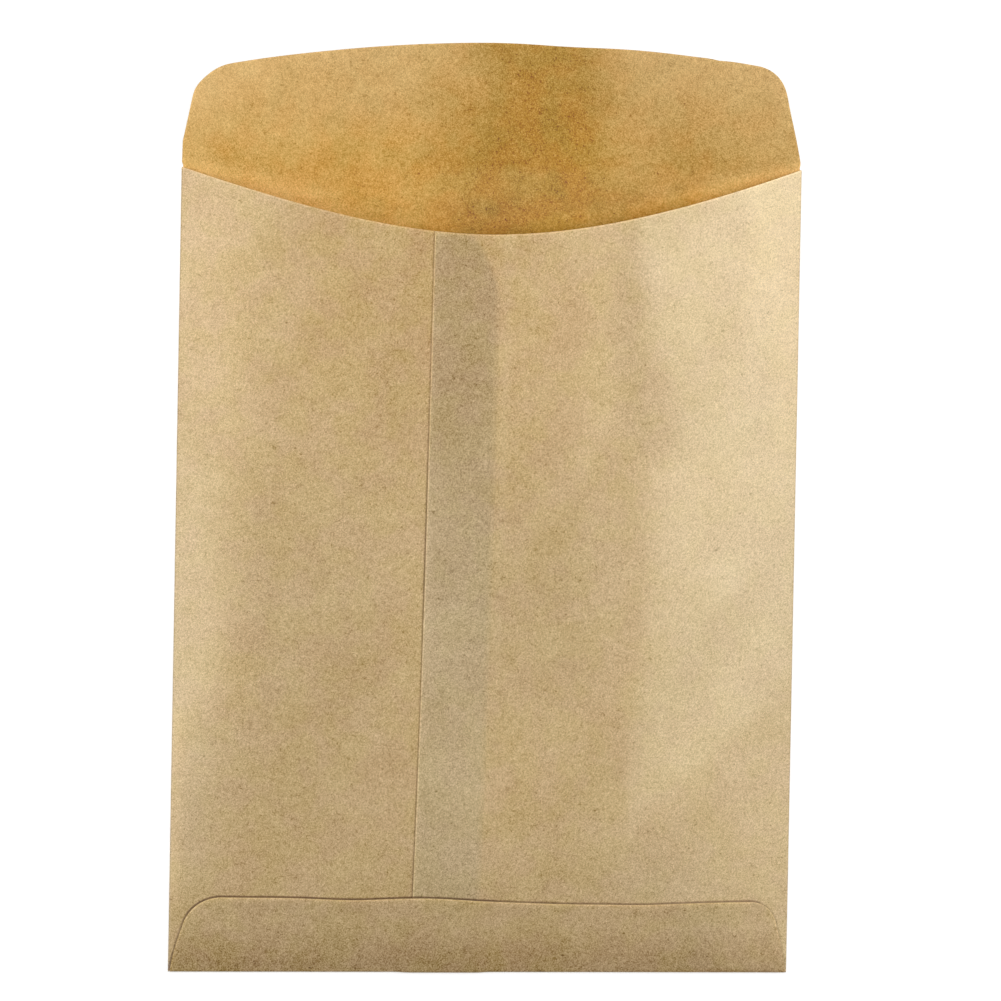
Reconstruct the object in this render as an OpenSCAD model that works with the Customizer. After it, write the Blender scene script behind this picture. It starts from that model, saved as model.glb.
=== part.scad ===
// Open-end paper envelope: one die-cut kraft blank, folded and glued into a flat pocket.
// It lies on its front with the seam side up and the top flap open. Units are millimetres.
// +X runs across the envelope, +Y from the bottom fold towards the top flap, and +Z up.
// The origin is the middle of the bounding box, on the surface that the envelope lies on.

/* [Body] */
// Width across the two side folds
body_w = 100; // [76:1:160]
// Height from the bottom fold to the score line of the top flap
body_h = 129; // [105:1:240]

/* [Paper] */
// Thickness of the sheet
paper_t = 0.16; // [0.1:0.01:0.3]
// Inner radius of a pressed fold
fold_r = 0.12; // [0.08:0.01:0.4]
// Thickness of the dried glue between two layers
glue_t = 0.04; // [0.02:0.01:0.1]

/* [Pocket] */
// How far the middle of the back stands up where the pocket is open
pocket_rise = 5.4; // [1:0.1:10]
// Distance from the bottom fold over which the pocket opens
pocket_run = 80; // [50:1:100]
// How roundly the pocket swells from the bottom fold; 1 would be a straight wedge
pocket_swell = 2; // [1.5:0.1:3]

/* [Throat] */
// Depth of the throat below the score line, at its middle
throat_depth = 10; // [6:0.1:16]
// Half-width of the rounded middle of the throat
throat_round = 34; // [15:1:60]

/* [Seam] */
// Distance of the seam's visible edge to the left of the centre line, at mid height
seam_x = 10.4; // [4:0.1:18]
// Overlap of the two back panels
seam_overlap = 10.7; // [7:0.1:16]
// Lean of the seam from the side folds, in degrees
seam_lean = 0.6; // [0:0.1:1.5]
// Width of the upper panel's step down beside the under panel's edge
seam_step = 2.5; // [1:0.1:5]
// Radius of the under panel's hidden corner at the throat
under_corner_r = 4.5; // [2:0.1:6]

/* [Glue] */
// Width of the unglued margin along each edge of the seam
glue_margin = 1.6; // [0.8:0.1:2.5]
// Height to which the unglued edge of a lap lifts
edge_lift = 0.15; // [0:0.05:0.5]

/* [Bottom flap] */
// Height of the glued bottom flap
tuck_h = 11.5; // [9:0.1:20]
// Slant of the bottom flap's sides from the side folds, in degrees
tuck_slant = 15.5; // [5:0.5:30]
// Radius of the bottom flap's corners
tuck_corner_r = 6.5; // [2:0.1:7.5]
// Tilt of the bottom flap's free edge, in degrees; it is lower on the right
tuck_tilt = 0.7; // [0:0.1:1.5]

/* [Top flap] */
// Height of the open flap above the score line
flap_h = 20.5; // [16:0.5:40]
// Slant of the flap's sides from the side folds, in degrees
flap_slant = 9.5; // [2:0.5:20]
// Radius of the flap's corners
flap_corner_r = 6.5; // [2:0.1:8]
// Radius of the arch along the flap's free edge
flap_arch_r = 250; // [200:5:600]
// Angle at which the opened flap springs up from the surface, in degrees
flap_spring = 3.5; // [1:0.5:10]
// How far the middle of the flap's free edge arches up above its corners
flap_crown = 1.2; // [0:0.1:3]

/* [Hidden] */

// How finely each stretch of the sheet is divided
fold_steps = 6;
corner_steps = 5;
plain_steps = 6;
tuck_rows = 4;
panel_rows = 18;
flap_rows = 4;
// Rows of the seam that stay unglued below the throat
open_rows = 2;
// A radius so large that the edge is straight
straight_r = 1e6;
// Room between a flap's rounded corner and the glue beside it
corner_gap = 1;
// Power of the pocket's cross-section: flat in the middle and steep beside the side folds
section_power = 3;

half_w = body_w / 2;
half_t = paper_t / 2;
fold_mid_r = fold_r + half_t;
layer = paper_t + glue_t;
// The front is flat out to the lines where the side folds begin
flat_w = half_w - fold_r - paper_t;
// Height of the back's middle surface beside a side fold
seat_z = half_t + 2 * fold_mid_r;
rows = tuck_rows + panel_rows;

function clamp01(a) = max(0, min(1, a));
function smooth(a) = let (c = clamp01(a)) c * c * (3 - 2 * c);
function lerp(a, b, share) = a + (b - a) * share;

// The pillow of the back: its rise above the side folds, and its unit normal pointing up
function still_shut(y) = 1 - clamp01(y / pocket_run);
function opened(y) = 1 - pow(still_shut(y), pocket_swell);
function opened_slope(y) = pocket_swell * pow(still_shut(y), pocket_swell - 1) / pocket_run;
function section(x) = 1 - pow(min(1, abs(x) / flat_w), section_power);
function section_slope(x) = let (
    share = pow(min(1, abs(x) / flat_w), section_power - 1)
) -section_power * sign(x) * share / flat_w;
function rise(x, y) = pocket_rise * opened(y) * section(x);
function up(x, y) = let (
    n = [-pocket_rise * opened(y) * section_slope(x), -pocket_rise * opened_slope(y) * section(x), 1]
) n / norm(n);

// The throat's edge is a rounded V between the two side folds
function throat_curve(x) = sqrt(1 + pow(x / throat_round, 2));
function throat_top(x) = let (
    share = (throat_curve(x) - 1) / (throat_curve(flat_w) - 1)
) body_h - throat_depth * (1 - share);

// Free edges of the upper and of the under panel; they lean together
function lean_x(y) = tan(seam_lean) * (y - body_h / 2);
function over_edge(y) = lean_x(y) - seam_x;
function under_edge(y) = over_edge(y) + seam_overlap;

// Top of the under panel, whose inner corner is rounded off below the throat's edge
function under_top(x) = let (
    into = clamp01((x - under_edge(body_h)) / under_corner_r + 1)
) throat_top(x) - under_corner_r * (1 - sqrt(1 - into * into));

// The upper panel rides on the under one and steps down beside its edge
function over_lift(x, y) = layer * (1 - smooth((x - under_edge(y)) / seam_step));
// The bottom flap rides on both, and steps up beside the upper panel's edge
function tuck_lift(x, y) = layer + over_lift(x, y) * smooth((x - over_edge(y)) / seam_step + 1);

// A flap's rounded corner, from its side's slant to its arch: [centre, first angle, last angle]
function corner(h, slant, r, arch_r) = let (
    from = [flat_w - r * cos(slant), arch_r - h - r * sin(slant)],
    way = [-sin(slant), cos(slant)],
    along = from * way,
    centre = from + way * (sqrt(along * along - from * from + pow(arch_r - r, 2)) - along)
) [[centre[0], centre[1] - arch_r + h], slant, atan2(centre[1], centre[0])];
function corner_point(bend, r, share) = let (
    turn = lerp(bend[1], bend[2], share)
) bend[0] + r * [cos(turn), sin(turn)];

tuck_bend = corner(tuck_h, tuck_slant, tuck_corner_r, straight_r);
flap_bend = corner(flap_h, flap_slant, flap_corner_r, flap_arch_r);
tuck_arch_x = corner_point(tuck_bend, tuck_corner_r, 1)[0];
flap_arch_x = corner_point(flap_bend, flap_corner_r, 1)[0];
corner_zone = flat_w - min(tuck_arch_x, flap_arch_x) + corner_gap;

// Columns of the sheet, numbered from the left side fold to the right one
c_zone = corner_steps + 1;
c_ramp = c_zone + plain_steps;
c_over = c_ramp + 1;
c_glue = c_over + 1;
c_glue_end = c_glue + 2;
c_under = c_glue_end + 3;
c_down = c_under + 1;
c_zone_end = c_down + plain_steps;
cols = c_zone_end + c_zone;

// Where the columns cross height y
function columns(y) = let (
    inner = flat_w - corner_zone,
    over = over_edge(y),
    under = under_edge(y)
) concat(
    [for (i = [0 : c_zone]) -lerp(flat_w, inner, i / c_zone)],
    [for (i = [1 : plain_steps]) lerp(-inner, over - seam_step, i / plain_steps)],
    [over],
    [for (share = [0, 0.5, 1]) lerp(over + glue_margin, under - glue_margin, share)],
    [for (share = [0.5, 0.15, 0]) under - glue_margin * share],
    [under + seam_step],
    [for (i = [1 : plain_steps]) lerp(under + seam_step, inner, i / plain_steps)],
    [for (i = [1 : c_zone]) lerp(inner, flat_w, i / c_zone)]
);
low_columns = columns(0);
high_columns = columns(body_h);
function column_x(c, y) = lerp(low_columns[c], high_columns[c], y / body_h);

// Height of row k on a panel that ends at height top; the lowest rows lie under the bottom flap
function row_y(k, top) = k < tuck_rows
    ? tuck_h * k / tuck_rows
    : lerp(tuck_h, top, (k - tuck_rows) / panel_rows);

// Each function below gives a point as [middle of the sheet, unit vector to its inner face]
function front_point(x, y) = [[x, y, half_t], [0, 0, 1]];

function side_fold_point(side, j, y) = let (
    leave = atan(-pocket_rise * opened(y) * section_slope(flat_w)),
    turn = (180 - leave) * j / fold_steps - 90,
    out = [side * cos(turn), 0, sin(turn)]
) [[side * flat_w, y, half_t + fold_mid_r] + fold_mid_r * out, -out];

function back_point(x, y, lift) = [[x, y, seat_z + rise(x, y) + lift], -up(x, y)];

function under_point(c, k) = let (
    y = row_y(k, under_top(high_columns[c]))
) back_point(column_x(c, y), y, 0);

function over_point(c, k) = let (
    y = row_y(k, throat_top(high_columns[c])),
    x = column_x(c, y)
) back_point(x, y, over_lift(x, y) + (c == c_over && k > tuck_rows ? edge_lift : 0));

function tuck_fold_point(c, j) = let (
    x = low_columns[c],
    r = (seat_z + tuck_lift(x, 0) - half_t) / 2,
    leave = atan(pocket_rise * opened_slope(0) * section(x)),
    turn = (180 - leave) * j / fold_steps
) [[x, -r * sin(turn), half_t + r - r * cos(turn)], [0, sin(turn), cos(turn)]];

// End of column c on a flap's free edge, measured from the middle of the flap's fold
function flap_end(c, h, bend, r, arch_r, x) = let (
    from_side = min(c, cols - c),
    side = c * 2 < cols ? -1 : 1,
    round_end = corner_point(bend, r, from_side / corner_steps)
) from_side > corner_steps
    ? [x, h - arch_r + sqrt(arch_r * arch_r - x * x)]
    : [side * round_end[0], round_end[1]];

function tuck_point(c, k) = let (
    level_end = flap_end(c, tuck_h, tuck_bend, tuck_corner_r, straight_r, column_x(c, tuck_h)),
    end = level_end - [0, tan(tuck_tilt) * level_end[0]],
    at = lerp([low_columns[c], 0], end, k / tuck_rows)
) back_point(at[0], at[1], tuck_lift(at[0], at[1]) + (k == tuck_rows ? edge_lift : 0));

// The opened flap rises from the score line, most in its middle
function flap_climb(x) = tan(flap_spring) + flap_crown / flap_h * (1 - pow(x / flat_w, 2));
function flap_point(c, k) = let (
    end = flap_end(c, flap_h, flap_bend, flap_corner_r, flap_arch_r, high_columns[c]),
    at = lerp([high_columns[c], 0], end, k / flap_rows),
    y = at[1] * cos(flap_spring),
    n = [2 * flap_crown / flap_h * at[0] / pow(flat_w, 2) * y, -flap_climb(at[0]), 1]
) [[at[0], body_h + y, half_t + y * flap_climb(at[0])], n / norm(n)];

// The sheet's points: the front's outline, then each wing row by row, going outwards.
// The wings go round the front: bottom flap, right panel, top flap, left panel.
front_outline = concat(
    [for (c = [0 : cols]) front_point(low_columns[c], 0)],
    [for (k = [1 : rows]) front_point(flat_w, row_y(k, body_h))],
    [for (c = [cols - 1 : -1 : 0]) front_point(high_columns[c], body_h)],
    [for (k = [rows - 1 : -1 : 1]) front_point(-flat_w, row_y(k, body_h))]
);
tuck_wing = concat(
    [for (j = [1 : fold_steps]) [for (c = [0 : cols]) tuck_fold_point(c, j)]],
    [for (k = [1 : tuck_rows]) [for (c = [0 : cols]) tuck_point(c, k)]]
);
right_wing = concat(
    [for (j = [1 : fold_steps]) [for (k = [0 : rows]) side_fold_point(1, j, row_y(k, body_h))]],
    [for (c = [cols - 1 : -1 : c_over]) [for (k = [0 : rows]) over_point(c, k)]]
);
flap_wing = [for (k = [1 : flap_rows]) [for (c = [cols : -1 : 0]) flap_point(c, k)]];
left_wing = concat(
    [for (j = [1 : fold_steps]) [for (k = [rows : -1 : 0]) side_fold_point(-1, j, row_y(k, body_h))]],
    [for (c = [1 : c_under]) [for (k = [rows : -1 : 0]) under_point(c, k)]]
);

function flat_list(grid) = [for (row = grid) each row];
sheet = concat(
    front_outline,
    flat_list(tuck_wing),
    flat_list(right_wing),
    flat_list(flap_wing),
    flat_list(left_wing),
    [front_point(0, body_h / 2)]
);
sheet_count = len(sheet);
front_middle = sheet_count - 1;

// Numbers of a wing's points, with the front's edge as its first row
front_count = len(front_outline);
function wing_ids(corner_id, width, first, wing) = concat(
    [[for (i = [0 : width]) (corner_id + i) % front_count]],
    [for (r = [0 : len(wing) - 1]) [for (i = [0 : width]) first + r * (width + 1) + i]]
);
tuck_first = front_count;
right_first = tuck_first + len(tuck_wing) * (cols + 1);
flap_first = right_first + len(right_wing) * (rows + 1);
left_first = flap_first + len(flap_wing) * (cols + 1);
tuck_ids = wing_ids(0, cols, tuck_first, tuck_wing);
right_ids = wing_ids(cols, rows, right_first, right_wing);
flap_ids = wing_ids(cols + rows, cols, flap_first, flap_wing);
left_ids = wing_ids(2 * cols + rows, rows, left_first, left_wing);

// The same numbers by column and row of the envelope
function tuck_id(c, k) = tuck_ids[fold_steps + k][c];
function over_id(c, k) = right_ids[fold_steps + cols - c][k];
function under_id(c, k) = left_ids[fold_steps + c][rows - k];

// Glued areas as [first column, last column, first row, last row]
seam_glue = [c_glue, c_glue_end, 1, rows - open_rows];
tuck_glue_left = [c_zone, c_ramp, 1, tuck_rows - 1];
tuck_glue_right = [c_glue, c_zone_end, 1, tuck_rows - 1];

// The same areas by the rows and columns of a wing
function on_tuck(g) = [fold_steps + g[2], fold_steps + g[3], g[0], g[1]];
function on_right(g) = [fold_steps + cols - g[1], fold_steps + cols - g[0], g[2], g[3]];
function on_left(g) = [fold_steps + g[0], fold_steps + g[1], rows - g[3], rows - g[2]];

function within(areas, r, c) = len([
    for (a = areas) if (r >= a[0] && r < a[1] && c >= a[2] && c < a[3]) a
]) > 0;

// A cell with corners p, q, r and s in turn, as two triangles
function cell(p, q, r, s) = [[p, q, r], [p, r, s]];
// Faces of a wing, clockwise seen from the inner side, apart from its glued areas
function wing_faces(ids, glued) = [
    for (r = [0 : len(ids) - 2]) for (c = [0 : len(ids[0]) - 2]) if (!within(glued, r, c))
        each cell(ids[r][c], ids[r][c + 1], ids[r + 1][c + 1], ids[r + 1][c])
];
// The bottom flap's cells are halved the other way, so that it lies parallel to the panels beneath it
function tuck_faces(ids, glued) = [
    for (r = [0 : len(ids) - 2]) for (c = [0 : len(ids[0]) - 2]) if (!within(glued, r, c))
        each cell(ids[r + 1][c], ids[r][c], ids[r][c + 1], ids[r + 1][c + 1])
];
front_faces = [for (i = [0 : front_count - 1]) [(i + 1) % front_count, i, front_middle]];

inner_faces = concat(
    front_faces,
    tuck_faces(tuck_ids, [on_tuck(tuck_glue_left), on_tuck(tuck_glue_right)]),
    wing_faces(right_ids, [on_right(seam_glue)]),
    wing_faces(flap_ids, []),
    wing_faces(left_ids, [])
);
outer_faces = concat(
    front_faces,
    tuck_faces(tuck_ids, []),
    wing_faces(right_ids, [on_right(tuck_glue_right)]),
    wing_faces(flap_ids, []),
    wing_faces(left_ids, [on_left(seam_glue), on_left(tuck_glue_left)])
);

// The cut edge of the blank, once round it, and the walls that close it
function wing_edge(ids) = let (
    end = len(ids) - 1,
    width = len(ids[0]) - 1
) concat(
    [for (r = [0 : end]) ids[r][0]],
    [for (c = [1 : width]) ids[end][c]],
    [for (r = [end - 1 : -1 : 1]) ids[r][width]]
);
cut_edge = concat(wing_edge(tuck_ids), wing_edge(right_ids), wing_edge(flap_ids), wing_edge(left_ids));

// Walls between two loops of points with the same count
function walls(above, below) = [
    for (i = [0 : len(above) - 1]) let (next = (i + 1) % len(above)) each [
        [above[i], above[next], below[next]],
        [above[i], below[next], below[i]]
    ]
];

// The outline of a glued area, counter-clockwise seen from above, as [column, row] pairs
function outline(g) = concat(
    [for (c = [g[0] : 1 : g[1] - 1]) [c, g[2]]],
    [for (k = [g[2] : 1 : g[3] - 1]) [g[1], k]],
    [for (c = [g[1] : -1 : g[0] + 1]) [c, g[3]]],
    [for (k = [g[3] : -1 : g[2] + 1]) [g[0], k]]
);
seam_walls = walls(
    [for (p = outline(seam_glue)) over_id(p[0], p[1])],
    [for (p = outline(seam_glue)) under_id(p[0], p[1]) + sheet_count]
);
tuck_left_walls = walls(
    [for (p = outline(tuck_glue_left)) tuck_id(p[0], p[1])],
    [for (p = outline(tuck_glue_left)) under_id(p[0], p[1]) + sheet_count]
);
tuck_right_walls = walls(
    [for (p = outline(tuck_glue_right)) tuck_id(p[0], p[1])],
    [for (p = outline(tuck_glue_right)) over_id(p[0], p[1]) + sheet_count]
);

module folded_blank() {
    polyhedron(
        points = concat(
            [for (p = sheet) p[0] + half_t * p[1]],
            [for (p = sheet) p[0] - half_t * p[1]]
        ),
        faces = concat(
            inner_faces,
            [for (f = outer_faces) [for (id = [f[2], f[1], f[0]]) id + sheet_count]],
            walls(cut_edge, [for (id = cut_edge) id + sheet_count]),
            seam_walls,
            tuck_left_walls,
            tuck_right_walls
        ),
        convexity = 8
    );
}

// The bottom fold's outermost point and the flap's tip set where the origin lies
length_below = (seat_z + 2 * layer - half_t) / 2 + half_t;
length_above = body_h + flap_h * cos(flap_spring);

module envelope() {
    color("burlywood") translate([0, (length_below - length_above) / 2, 0]) folded_blank();
}

envelope();
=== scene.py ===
import math

import bpy
import numpy as np
from mathutils import Matrix, Vector
from mathutils.kdtree import KDTree


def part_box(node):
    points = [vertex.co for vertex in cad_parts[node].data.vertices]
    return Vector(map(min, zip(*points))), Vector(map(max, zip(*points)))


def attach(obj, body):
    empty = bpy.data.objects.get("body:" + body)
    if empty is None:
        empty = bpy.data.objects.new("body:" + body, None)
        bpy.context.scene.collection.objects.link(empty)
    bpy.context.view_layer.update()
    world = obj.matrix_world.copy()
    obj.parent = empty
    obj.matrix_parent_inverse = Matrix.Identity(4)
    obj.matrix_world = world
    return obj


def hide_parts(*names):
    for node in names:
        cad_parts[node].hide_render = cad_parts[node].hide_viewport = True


# The sheet is worked out in millimetres, with y = 0 at the bottom fold and z = 0 on the surface
# that the envelope lies on, and it is put into the frame in metres when its mesh is made.
MM = 0.001

# Paper, fold and glue
PAPER_T = 0.16
FOLD_R = 0.12
GLUE_T = 0.04

# Pocket: its height, how far its back stands up, and over which distance it opens
BODY_H = 129.0
POCKET_RISE = 5.4
POCKET_RUN = 80.0
POCKET_SWELL = 2.0
SECTION_POWER = 3.0

# Throat, seam and lifted edges
THROAT_DEPTH = 10.0
THROAT_ROUND = 34.0
SEAM_X = 10.4
SEAM_OVERLAP = 10.7
SEAM_LEAN = math.radians(0.6)
SEAM_STEP = 2.5
UNDER_CORNER_R = 4.5
GLUE_MARGIN = 1.6
EDGE_LIFT = 0.15

# Bottom flap
TUCK_H = 11.5
TUCK_SLANT = math.radians(15.5)
TUCK_CORNER_R = 6.5
TUCK_RIGHT_SLANT = math.radians(11)
TUCK_RIGHT_R = 4.2
TUCK_TILT = math.radians(0.7)
# How much the flap's sides bow, how its rows close up towards the fold, and how far the paper
# bulges past the two bottom corners of the pocket
SIDE_EASE = 1.6
ROW_EASE = 1.2
CORNER_FILL = 0.36
# Arch of an edge that is straight
STRAIGHT_R = 1e6

# Top flap
FLAP_SLANT = math.radians(9.5)
FLAP_CORNER_R = 6.5
FLAP_ARCH_R = 250.0
FLAP_SPRING = math.radians(3.5)
FLAP_CROWN = 1.2

# Handling marks of the back: where creases start and end, how wide they are, and rises
RIDGE = (24.2, 114.0), (22.6, 90.0), 2.8
RIDGE_RISE = 0.26
DENT = (24.2, 31.0), (42.5, 55.5), 3.6
DENT_DEPTH = 0.34
NICK_X, NICK_Y = -47.6, 35.8
NICK_DEPTH = 0.16

# How finely the sheet is divided
FOLD_STEPS = 8
CORNER_STEPS = 14
PLAIN_STEPS = 30
TUCK_ROWS = 14
PANEL_ROWS = 112
FLAP_ROWS = 22
CORNER_GAP = 1.0

HALF_T = PAPER_T / 2
FOLD_MID_R = FOLD_R + HALF_T
LAYER = PAPER_T + GLUE_T
SEAT_Z = HALF_T + 2 * FOLD_MID_R
ROWS = TUCK_ROWS + PANEL_ROWS
SLOPE_STEP = 0.02


def smooth(a):
    c = np.clip(a, 0, 1)
    return c * c * (3 - 2 * c)


def hill(a):
    """A smooth bump, 1 at a = 0."""
    return np.exp(-a * a / 2)


def unit(v):
    return v / np.linalg.norm(v, axis=-1, keepdims=True)


def stack(*parts):
    """Coordinates of like shape, or plain numbers, joined into vectors."""
    return np.stack(np.broadcast_arrays(*parts), axis=-1)


# Places and sizes that follow from the frame
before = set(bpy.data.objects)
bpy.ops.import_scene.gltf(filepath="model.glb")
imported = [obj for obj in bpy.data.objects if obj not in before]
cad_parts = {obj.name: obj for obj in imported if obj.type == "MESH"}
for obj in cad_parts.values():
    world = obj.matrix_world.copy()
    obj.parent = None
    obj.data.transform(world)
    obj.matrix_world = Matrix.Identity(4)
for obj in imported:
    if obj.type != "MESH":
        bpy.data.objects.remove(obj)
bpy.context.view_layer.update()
low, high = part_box("envelope")
HALF_W = (high.x - low.x) / 2 / MM
FLAT_W = HALF_W - FOLD_R - PAPER_T
BELOW = (SEAT_Z + 2 * LAYER - HALF_T) / 2 + HALF_T
FLAP_H = ((high.y - low.y) / MM - BELOW - BODY_H) / math.cos(FLAP_SPRING)
SHIFT_Y = low.y / MM + BELOW


def opened(y):
    return 1 - (1 - np.clip(y / POCKET_RUN, 0, 1)) ** POCKET_SWELL


def section(x):
    return 1 - np.minimum(1, np.abs(x) / FLAT_W) ** SECTION_POWER


def fold_slope(y):
    """Slope at which the back leaves a side fold."""
    return POCKET_RISE * opened(y) * SECTION_POWER / FLAT_W


def throat_curve(x):
    return np.sqrt(1 + (x / THROAT_ROUND) ** 2)


def throat_top(x):
    share = (throat_curve(x) - 1) / (throat_curve(FLAT_W) - 1)
    return BODY_H - THROAT_DEPTH * (1 - share)


def over_edge(y):
    return math.tan(SEAM_LEAN) * (y - BODY_H / 2) - SEAM_X


def under_edge(y):
    return over_edge(y) + SEAM_OVERLAP


def under_top(x):
    into = np.clip((x - under_edge(BODY_H)) / UNDER_CORNER_R + 1, 0, 1)
    return throat_top(x) - UNDER_CORNER_R * (1 - np.sqrt(1 - into * into))


def crease(x, y, start, end, width):
    """Distances from a crease, in widths: across it, and past its ends."""
    start, end = np.array(start), np.array(end)
    length = np.linalg.norm(end - start)
    way = (end - start) / length
    along = (x - start[0]) * way[0] + (y - start[1]) * way[1]
    across = (x - start[0]) * way[1] - (y - start[1]) * way[0]
    past = np.maximum(0, np.abs(along - length / 2) - length / 2)
    return across / width, past / width


def relief(x, y):
    """Handling marks of the back: a soft ridge, a diagonal dent, a nick and faint waves."""
    across, past = crease(x, y, *RIDGE)
    ridge = RIDGE_RISE * hill(across) * hill(past / 2)
    across, past = crease(x, y, *DENT)
    dent = DENT_DEPTH * (hill(across + 2.2) - hill(across)) * hill(past)
    nick = -NICK_DEPTH * hill(np.hypot((x - NICK_X) / 1.3, (y - NICK_Y) / 1.6))
    nick = nick * smooth((FLAT_W + x) / 1.5)
    band = -0.12 * hill((x + 29.5) / 3.2) * hill((y - 84) / 14)
    waves = 0.07 * np.sin(x / 5.9 + y / 37 + 0.8) * np.sin(y / 13.5 - x / 31 + 0.3)
    waves += 0.05 * np.sin(x / 9.7 - y / 11.2 + 2.1)
    pressed = smooth((FLAT_W - np.abs(x)) / 9) * smooth(y / 16) * smooth((120 - y) / 11)
    return (ridge + dent + band + waves) * pressed + nick


def back_height(x, y):
    """Middle surface of the under panel above the surface that the envelope lies on."""
    return SEAT_Z + POCKET_RISE * opened(y) * section(x) + relief(x, y)


def over_lift(x, y):
    return LAYER * (1 - smooth((x - under_edge(y)) / SEAM_STEP))


def loose_seam(x, y):
    """The seam's unglued edge lifts a little, most where it was bent up."""
    near = np.clip(1 - (x - over_edge(y)) / GLUE_MARGIN, 0, 1)
    height = 0.09 + 0.10 * hill((y - 65) / 7) - 0.06 * hill((y - 44) / 9) + 0.02 * np.sin(y / 6.1)
    return height * near ** 2 * smooth((y - TUCK_H) / 5)


def over_height(x, y):
    return back_height(x, y) + over_lift(x, y) + loose_seam(x, y)


def tuck_edge(x):
    """How far the bottom flap's free edge strays from a straight line."""
    left = 0.12 * hill((x + 31) / 5) - 0.12 * hill((x + 21) / 4) + 0.42 * hill((x + 8.5) / 5.5)
    right = -0.24 * hill((x - 16) / 7) - 0.16 * hill((x - 26) / 3) + 0.35 * smooth((x - 30) / 16)
    return left + right - 0.28 + 0.10 * smooth((x - 24) / 16)


def tuck_height(x, y):
    lift = LAYER + over_lift(x, y) * smooth((x - over_edge(y)) / SEAM_STEP + 1)
    near = np.clip((y - TUCK_H + 3.2 + math.tan(TUCK_TILT) * x) / 3.2, 0, 1.2)
    loose = (EDGE_LIFT + 0.05 * np.sin(x / 6.6)) * near ** 2
    return back_height(x, y) + lift + loose


# A patch of the sheet has one row of numbers for each point: middle of the sheet, unit normal to its
# inner side, place on the flat blank, and the marks of its outer side. These are the level and the
# paleness of its tone, which hold painted light and shade as well as the paper's own tone, and for the
# bottom flap and the seam each the distance past the edge of what lies on top, and how dark the
# painted shadow in the gap under that edge is.
MIDDLE, NORMAL, FLAT = slice(0, 3), slice(3, 6), slice(6, 8)
LEVEL, PALE, FLAP_GAP, FLAP_SHADOW, SEAM_GAP, SEAM_SHADOW = range(8, 14)
PLAIN_MARKS = [1.0, 0.17, 50.0, 0.0, 50.0, 0.0]


def patch(middle, normal):
    marks = np.broadcast_to(PLAIN_MARKS, middle.shape[:-1] + (6,))
    return np.concatenate([middle, normal, 0 * middle[..., :2], marks], axis=-1)


def raised(x, y, height):
    """Patch of a back layer whose middle surface is height(x, y); its inner side faces down."""
    at = np.clip(x, SLOPE_STEP - FLAT_W, FLAT_W - SLOPE_STEP)
    slope_x = (height(at + SLOPE_STEP, y) - height(at - SLOPE_STEP, y)) / (2 * SLOPE_STEP)
    slope_y = (height(x, y + SLOPE_STEP) - height(x, y - SLOPE_STEP)) / (2 * SLOPE_STEP)
    normal = -unit(stack(-slope_x, -slope_y, 1.0))
    return patch(stack(x, y, height(x, y)), normal)


# Tones are judged: a level is a share of the ground colour, paleness is the share of the pale colour
# in it, and each patch or border is given by its place and width in millimetres.

# Soft patches of painted light and shade on the back: change of level, then middle and width in x and
# in y
PAINTED_LIGHT_PATCHES = [
    (-0.05, -15, 5, 100, 12),
    (0.06, -12.5, 3, 58, 14),
    (0.08, 5, 14, 33, 10),
    (-0.09, 29, 7, 15, 5),
    (-0.09, 21.6, 2.4, 107, 11),
]


def back_tone(x, y):
    """Level and paleness of the back: painted sheen paler along its sides, most right of the ridge,
    with painted light and shade over the rest.
    """
    # Painted sheen and light on the right, on the facet right of the ridge and at the left side
    right = smooth((x - 8) / 32)
    border = 22 + 0.6 * np.sin(y / 7) + 3.5 * hill((y - 87) / 10)
    facet = smooth((x - border) / (3.6 + 3.5 * hill((y - 75) / 16)))
    facet = facet * smooth((y - 22.5 - 0.92 * (x - 26)) / 5.5)
    left = smooth((-x - 38) / 9) * hill((y - 50) / 24)
    # Painted light towards the throat and painted shade near the bottom fold
    level = 1 + 0.17 * smooth((y - 55) / 55) - 0.06 * smooth((20 - y) / 14)
    level += 0.09 * right + 0.04 * left
    level += 0.10 * smooth((-x - 34) / 10) * smooth((y - 34) / 12)
    for rise, x0, width, y0, height in PAINTED_LIGHT_PATCHES:
        level += rise * hill((x - x0) / width) * hill((y - y0) / height)
    # Painted shade round and right of the ridge, and a faint painted highlight in a strip lower down
    upper = smooth((x - 18) / 6) * smooth((48 - x) / 4) * smooth((y - 80) / 8)
    upper = upper * (1 - smooth((x - 38) / 6) * smooth((y - 102) / 12))
    level -= 0.08 * upper
    level += 0.03 * hill((x - 23.5) / 3) * smooth((y - 30) / 6) * smooth((70 - y) / 6)
    # Painted highlight and painted shade low down at the left edge
    level += left_edge_light_and_shade(x, y)
    middle = smooth((x + 42) / 24) * smooth((18 - x) / 20)
    pale = 0.17 - 0.11 * middle * smooth((y - 62) / 40)
    pale += 0.12 * right + 0.14 * facet + 0.17 * left - 0.03 * upper
    return level, pale


def left_edge_light_and_shade(x, y):
    """Change of level low down at the left side: a painted highlight along its border and a patch of
    painted shade beside it.
    """
    border = 0.13 * smooth((-x - 47.3) / 2.2) * smooth((44 - y) / 5)
    wider = 0.06 * smooth((-x - 45.6) / 1.6) * hill((y - 37) / 3.5)
    dull = 0.04 * hill((x + 46) / 1.5) * smooth((31 - y) / 4)
    return (border + wider - dull) * smooth((y - 8) / 6)


def lap_tone(y):
    """Change of tone where another layer lies beneath and shows through."""
    down = smooth((100 - y) / 50)
    return 0.77 + 0.06 * down, 0.06 + 0.10 * down


def flap_tone(y):
    """Level and paleness of the bottom flap, with painted shade that darkens it towards its fold."""
    low = smooth((9 - y) / 8)
    return 0.93 - 0.11 * low - 0.05 * smooth((3 - y) / 3), 0.17 - 0.12 * low


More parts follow.
